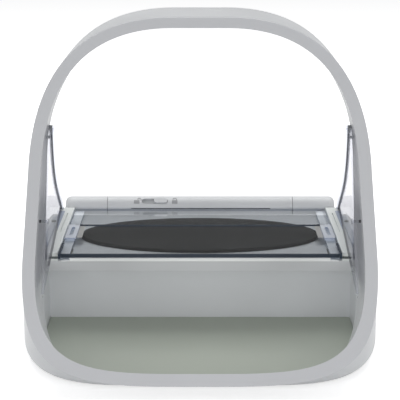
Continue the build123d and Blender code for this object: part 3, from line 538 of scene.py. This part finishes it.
def clear(name, tint, edge_tint, across, edge_body=0.35, body=0.0, roughness=0.04,
          line=None, milky=False, grazing=GRAZING_GLOSS):
    """Clear sheet plastic whose broad faces look along one axis, with coloured edges.

    A line is a function that gives 1 where a dark line of painted shade runs along an edge. A
    milky plastic has a body of its own instead of a mirror's shine.
    """
    material, shader = new_material(name)
    tree = material.node_tree
    edge = edge_mask(tree, across)
    edge_share = work_out(tree, "MULTIPLY", edge, edge_body)
    share = work_out(tree, "ADD", mirror_share(tree, grazing, body), edge_share)
    share = work_out(tree, "MULTIPLY", share, nearer_skin(tree))
    if line:
        # the dark line is painted shade along the edge
        dark = work_out(tree, "MULTIPLY", line(tree), edge)
        edge_tint = blend_colour(tree, dark, edge_tint, EDGE_SHADE_DARK)
        share = work_out(tree, "ADD", share, work_out(tree, "MULTIPLY", dark, EDGE_SHADE_BODY))
    share = work_out(tree, "MINIMUM", share, 1)
    colour = blend_colour(tree, edge, tint, edge_tint)
    feed(tree, colour, shader.inputs["Base Color"])
    if not milky:
        feed(tree, work_out(tree, "SUBTRACT", 1, edge), shader.inputs["Metallic"])
    haze = noise(tree, HAZE_PER_METRE, detail=2)
    gloss = spread(tree, haze, roughness, roughness + HAZE_GLOSS)
    feed(tree, gloss, shader.inputs["Roughness"])
    through = tree.nodes.new("ShaderNodeBsdfTransparent")
    feed(tree, colour, through.inputs["Color"])
    mix_shaders(tree, share, through, shader, tree.nodes["Material Output"].inputs["Surface"])
    return material


print("recipe for clear plastic ready")

# %% [markdown]
# A lip stiffens the curved rear edge of each wing, and in the photograph a thin dark line follows
# it. The line is the shadow along that edge. It could be a thin piece of its own, but here a mask
# paints it into the wing's plastic as painted shade. The wing leans, so the mask measures from the
# leaning outer face. The front edge has no such line and is left out by its Y.

# %% The wing's dark line
WING_OUTER = 104.1               # the outer face's distance from the middle where Y and Z are 0
WING_LEAN = (0.053, -0.0357)     # what that distance gains for each millimetre of Y and of Z
LINE_WIDTH = 2.0
WING_FRONT_EDGE_Y = -69          # the front edge lies before this, the curved rear edge behind it


# the wing's dark rear line is painted shade, the shadow along that edge
def wing_edge_painted_shade(tree):
    """1 on the outer two millimetres of the wing's rear part, else 0."""
    axes = object_axes(tree)
    out = work_out(tree, "ABSOLUTE", axes["X"])
    for axis, gain in zip("YZ", WING_LEAN):
        out = work_out(tree, "SUBTRACT", out, work_out(tree, "MULTIPLY", axes[axis], gain))
    at_lip = beyond(tree, out, WING_OUTER - LINE_WIDTH, soft=0.2)
    behind = beyond(tree, axes["Y"], WING_FRONT_EDGE_Y, soft=3)
    return work_out(tree, "MULTIPLY", at_lip, behind)


print("the line is", LINE_WIDTH, "mm wide")

# %% [markdown]
# Each clear finish has a tint for its faces and one for its edges. The lid lies flat and is
# nearly colourless, with bluish edges. The wings stand upright and would mirror the white room
# at their low angle, so they get less of the grazing gloss and a greyer tint.

# %% Clear finishes
UP = (0, 0, 1)
SIDEWAYS = (1, 0, 0)

lid_clear = clear("lid_clear", (0.955, 0.965, 0.973), (0.40, 0.46, 0.57), UP, edge_body=0.5)
wing_clear = clear(
    "wing_clear", (0.76, 0.76, 0.78), (0.86, 0.87, 0.90), SIDEWAYS,
    edge_body=0.12, line=wing_edge_painted_shade, grazing=0.35,
)
strip_clear = clear(
    "strip_clear", (0.84, 0.87, 0.92), (0.50, 0.55, 0.66), UP, body=0.3, milky=True
)
carriage_clear = clear(
    "carriage_clear", (0.86, 0.89, 0.93), (0.55, 0.60, 0.68), UP,
    edge_body=0.2, body=0.62, milky=True,
)
window_clear = clear("window_clear", (0.9, 0.9, 0.9), (0.8, 0.8, 0.8), UP, roughness=0.2)
print("materials so far:", len(bpy.data.materials))

# %% [markdown]
# ## Wing studs
# The wings hang on clear studs, of which only the tip in the hoop's wall is dark. One piece
# with two looks could be cut in two, but a mask on its own X coordinate does it as well.

# %% Wing studs
STUD_DARK_FROM = 97.7            # the dark tip starts this far from the middle
STUD_CLEAR_SHARE = 0.08          # how solid the clear part looks
STUD_TINT = (0.95, 0.955, 0.965)
STUD_DARK = (0.03, 0.03, 0.034)
STUD_LESS_DARK = (0.05, 0.05, 0.055)
STUD_CLOUDS_PER_METRE = 200
STUD_ROUGHNESS = 0.35


def stud_plastic():
    """Clear studs with a dark tip towards the hoop's wall."""
    material, shader = new_material("wing_stud")
    tree = material.node_tree
    out = work_out(tree, "ABSOLUTE", object_axes(tree)["X"])
    share = beyond(tree, out, STUD_DARK_FROM, soft=0.1, before=STUD_CLEAR_SHARE)
    clouds = noise(tree, STUD_CLOUDS_PER_METRE, detail=2)
    tone = ramp(tree, clouds, STUD_DARK, STUD_LESS_DARK)
    feed(tree, tone, shader.inputs["Base Color"])
    feed(tree, STUD_ROUGHNESS, shader.inputs["Roughness"])
    through = tree.nodes.new("ShaderNodeBsdfTransparent")
    feed(tree, STUD_TINT, through.inputs["Color"])
    mix_shaders(tree, share, through, shader, tree.nodes["Material Output"].inputs["Surface"])
    return material


wing_stud = stud_plastic()
print("studs are dark from", STUD_DARK_FROM, "mm outwards")

# %% [markdown]
# ## Metals
# Shafts, contacts, screws and the antenna's coil are metal. Most are out of sight at rest, but
# a lifted cover or a slid lid shows some of them. A metal of one even gloss looks like paint, so
# its polish is slightly uneven.

# %% Metals
POLISH_PER_METRE = 140
POLISH_SHADE = 0.9           # the dullest patches keep this much of the colour
POLISH_GLOSS = 0.05          # how far the roughness goes to either side


def metal(name, colour, roughness):
    """Plain metal with a slightly uneven polish."""
    material, shader = new_material(name)
    tree = material.node_tree
    polish = noise(tree, POLISH_PER_METRE, detail=3)
    tone = ramp(tree, polish, shaded(colour, POLISH_SHADE), colour)
    gloss = spread(tree, polish, roughness - POLISH_GLOSS, roughness + POLISH_GLOSS)
    feed(tree, 1, shader.inputs["Metallic"])
    feed(tree, tone, shader.inputs["Base Color"])
    feed(tree, gloss, shader.inputs["Roughness"])
    return material


bright_steel = metal("bright_steel", (0.62, 0.62, 0.63), 0.3)
black_steel = metal("black_steel", (0.10, 0.10, 0.105), 0.4)
copper_wire = metal("copper_wire", (0.70, 0.36, 0.20), 0.35)
print("materials so far:", len(bpy.data.materials))

# %% [markdown]
# ## Dressing the frame's own pieces
# Every piece of the frame gets the finish that the photograph shows, or that such a piece
# usually has. Each could be given its material on a line of its own, but a table by finish
# shows at a glance which pieces come from the same plastic. The last line lists any piece that
# was forgotten.

# %% Finishes on the frame's own pieces
FINISH = {
    housing_grey: (
        "base_tray", "upper_body", "hoop_shell", "rear_housing", "battery_cover", "lock_knob",
        "motor_cradle", "shaft_posts", "board_posts", "button_board_posts",
    ),
    liner_grey_painted_light: ("bay_liner",),
    face_grey_painted_shade: ("hoop_front",),
    mat_sage: ("bay_mat",),
    rubber_black: ("rubber_feet",),
    copper_wire: ("antenna_coil",),
    wing_clear: ("left_wing", "right_wing"),
    strip_clear: ("left_bracket", "right_bracket", "lid_clips"),
    carriage_clear: ("left_carriage", "right_carriage"),
    lid_clear: ("lid_panel",),
    rail_white: ("left_rail", "right_rail"),
    badge_black: ("oval_badge",),
    seal_blue: ("lid_front_seal", "lid_stiffener", "lid_side_seals"),
    gear_cream: ("left_idler", "right_idler", "end_gears", "drive_gear", "motor_pinion"),
    bright_steel: (
        "cross_shaft", "motor_spindle", "motor", "idler_axles", "battery_contacts",
        "cover_hinge_pins",
    ),
    black_steel: ("bracket_screws",),
    wing_stud: ("wing_screws",),
    tray_grey: ("battery_tray",),
    cell_wrap: ("battery_cell_1", "battery_cell_2", "battery_cell_3", "battery_cell_4"),
    board_green: ("main_board", "button_board"),
    chip_black: ("board_parts", "lid_switches"),
    button_grey: ("add_pet_button", "open_button", "training_button"),
    window_clear: ("light_window",),
}
for material, names in FINISH.items():
    for name in names:
        slots = nodes[name].data.materials
        slots.clear()
        slots.append(material)
bare = sorted(set(nodes) - {name for names in FINISH.values() for name in names})
print("pieces with no finish:", bare)

# %% [markdown]
# ## Small forms
# Some small things are too fine for the solids: the two padlock icons beside the lock's knob,
# the dark line where the cover meets the lid, the frosted pads and bar ends on the lid, and
# two plugs at the back. Each is a real thin solid, so that it also shows in the exported meshes.
# Most are blocks, and a block with sharp edges catches no light along them, so every edge is
# bevelled.

# %% Helpers for small solids
def small_piece(name, bm, material, body):
    """Turn a bmesh into an object that rides on a body, and say how many faces it has."""
    bmesh.ops.remove_doubles(bm, verts=bm.verts, dist=0.001 * MM)
    bmesh.ops.recalc_face_normals(bm, faces=bm.faces)
    mesh = bpy.data.meshes.new(name)
    bm.to_mesh(mesh)
    bm.free()
    piece = bpy.data.objects.new(name, mesh)
    bpy.context.scene.collection.objects.link(piece)
    mesh.materials.append(material)
    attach(piece, body)
    print(name, len(mesh.polygons), "faces")


def soft_block(bm, low, high, round_off):
    """A block between two corners in millimetres with rounded edges."""
    size = Vector(high) - Vector(low)
    middle = (Vector(high) + Vector(low)) / 2
    made = bmesh.ops.create_cube(bm, size=1)
    bmesh.ops.scale(bm, vec=size * MM, verts=made["verts"])
    bmesh.ops.translate(bm, vec=middle * MM, verts=made["verts"])
    edges = {edge for vert in made["verts"] for edge in vert.link_edges}
    bmesh.ops.bevel(
        bm, geom=list(edges), offset=round_off * MM, segments=2, profile=0.5, affect="EDGES",
        material=-1,
    )


def block_each_side(bm, across, along, up, round_off):
    """The same soft block left and right, with its reach across taken from the middle."""
    for side in (-1, 1):
        low_x, high_x = sorted((side * across[0], side * across[1]))
        soft_block(bm, (low_x, along[0], up[0]), (high_x, along[1], up[1]), round_off)


print("helpers for small solids ready")

# %% [markdown]
# ## Padlock icons
# The cover's lock has an open and a closed padlock printed at the ends of its slot. A print
# could be a texture, but a thin relief follows the rounded ridge and exports as a shape. Each
# icon starts flat: a small sheet for the body, and a short strip that is drawn up and spun half
# round for the shackle. Then it is given a thickness. An open padlock has its shackle swung to
# one side.

# %% Flat padlock
ICON_HALF_WIDTH = 2.1
ICON_BODY = (-2.5, 0.6)              # foot and top of the padlock's body
ICON_SKIN = 0.12
SHACKLE_RADIUS = 1.35
SHACKLE_HALF_BAND = 0.3
SHACKLE_SINK = 0.1                   # how far the shackle starts inside the body
SHACKLE_LEG = 0.7
SHACKLE_STEPS = 8
OPEN_SWING = 1.5                     # in shackle radii


def flat_padlock(is_open):
    """A padlock outline as a thin flat solid, in millimetres."""
    bm = bmesh.new()
    low, high = ICON_BODY
    body = bmesh.ops.create_grid(bm, x_segments=4, y_segments=4, size=1)
    bmesh.ops.scale(bm, vec=(ICON_HALF_WIDTH, (high - low) / 2, 1), verts=body["verts"])
    bmesh.ops.translate(bm, vec=(0, (low + high) / 2, 0), verts=body["verts"])
    middle = SHACKLE_RADIUS * OPEN_SWING if is_open else 0
    foot = high - SHACKLE_SINK
    band = [
        bm.verts.new((middle + SHACKLE_RADIUS + reach, foot, 0))
        for reach in (-SHACKLE_HALF_BAND, SHACKLE_HALF_BAND)
    ]
    leg = bmesh.ops.extrude_edge_only(bm, edges=[bm.edges.new(band)])["geom"]
    top = [item for item in leg if isinstance(item, bmesh.types.BMVert)]
    bmesh.ops.translate(bm, vec=(0, SHACKLE_LEG, 0), verts=top)
    top_edge = [
        item for item in leg
        if isinstance(item, bmesh.types.BMEdge) and set(item.verts) == set(top)
    ]
    bmesh.ops.spin(
        bm, geom=top + top_edge, cent=(middle, foot + SHACKLE_LEG, 0), axis=(0, 0, 1),
        angle=math.pi, steps=SHACKLE_STEPS,
    )
    bmesh.ops.recalc_face_normals(bm, faces=bm.faces)
    bmesh.ops.solidify(bm, geom=list(bm.faces), thickness=ICON_SKIN)
    return bm


print("padlock body", 2 * ICON_HALF_WIDTH, "mm wide")

# %% [markdown]
# The ridge is rounded like a quarter of an ellipse, and the icons lie on the middle of the bend.
# A bend modifier could do it, but the ellipse is known, so each point is simply placed on it:
# its height on the icon becomes an angle, and its thickness a distance above the surface.

# %% Icons on the ridge
RIDGE_BEND_MIDDLE = (95.0, 52.1)     # Y and Z of the ellipse's middle
RIDGE_BEND = (8.5, 7.5)              # its reach along Y and along Z
ICON_AT = math.radians(45)           # where on the bend the icons lie
ICON_SINK = 0.02                     # the icon's back lies this deep in the ridge, so no gap shows
OPEN_ICON_X = -48.3
CLOSED_ICON_X = -19.3


def lay_on_ridge(bm, middle_x):
    """Bend a flat icon over the ridge's rounded front corner."""
    reach_y, reach_z = RIDGE_BEND
    middle_y, middle_z = RIDGE_BEND_MIDDLE
    turn_per_mm = 2 / (reach_y + reach_z)
    lowest = min(vert.co.z for vert in bm.verts)
    for vert in bm.verts:
        along, up, lift = vert.co
        above = lift - lowest - ICON_SINK
        angle = ICON_AT + up * turn_per_mm
        y = middle_y - (reach_y + above) * math.cos(angle)
        z = middle_z + (reach_z + above) * math.sin(angle)
        vert.co = Vector((middle_x + along, y, z)) * MM


for name, middle_x, is_open in (
    ("open_padlock_icon", OPEN_ICON_X, True),
    ("closed_padlock_icon", CLOSED_ICON_X, False),
):
    icon = flat_padlock(is_open)
    lay_on_ridge(icon, middle_x)
    small_piece(name, icon, icon_grey, "cover")

# %% [markdown]
# ## Cover lip
# Where the cover comes down behind the lid, the photograph has a thin dark line. It could be the
# gap's shadow or a seal in the gap. It is made as a seal, a long thin bar on the cover, because
# a bar gives the line its even width in any light.

# %% Cover lip
LIP_LOW = (-52.5, 86.15, 51.55)
LIP_HIGH = (53.5, 86.52, 52.3)
LIP_ROUND = 0.12

bm = bmesh.new()
soft_block(bm, LIP_LOW, LIP_HIGH, LIP_ROUND)
small_piece("cover_lip", bm, seal_blue, "cover")

# %% [markdown]
# ## Lid pads and bar ends
# Two frosted strips show on the lid, and the stiffening bar ends in thicker dark feet. Both
# could be finishes on the lid, but they seem to stand up from it. So they are low blocks on its
# top face, and they slide with it.

# %% Lid pads and bar ends
LID_TOP = 52.2
LID_SINK = 0.02                      # the blocks start this deep in the lid, so no gap shows

bm = bmesh.new()
block_each_side(
    bm, across=(82.6, 86.4), along=(3, 33.5), up=(LID_TOP - LID_SINK, 52.6), round_off=0.18
)
small_piece("lid_pads", bm, pad_frost, "lid")

bm = bmesh.new()
block_each_side(
    bm, across=(84.5, 90.5), along=(34.0, 36.4), up=(LID_TOP - LID_SINK, 53.3), round_off=0.3
)
small_piece("bar_feet", bm, seal_blue, "lid")

# %% [markdown]
# ## Corner plugs
# Behind the rails the upper body's end face is open beside the rear housing. The photograph
# doesn't show that place, so how the feeder shuts it is a guess: a small plug of the same
# plastic in each opening, which keeps dust from the racks.

# %% Corner plugs
PLUG_ACROSS = (103.0, 111.3)
PLUG_ALONG = (84.2, 86.35)
PLUG_UP = (38.8, 45.4)
PLUG_ROUND = 0.3

bm = bmesh.new()
block_each_side(bm, PLUG_ACROSS, PLUG_ALONG, PLUG_UP, PLUG_ROUND)
small_piece("corner_plugs", bm, housing_grey, "housing")
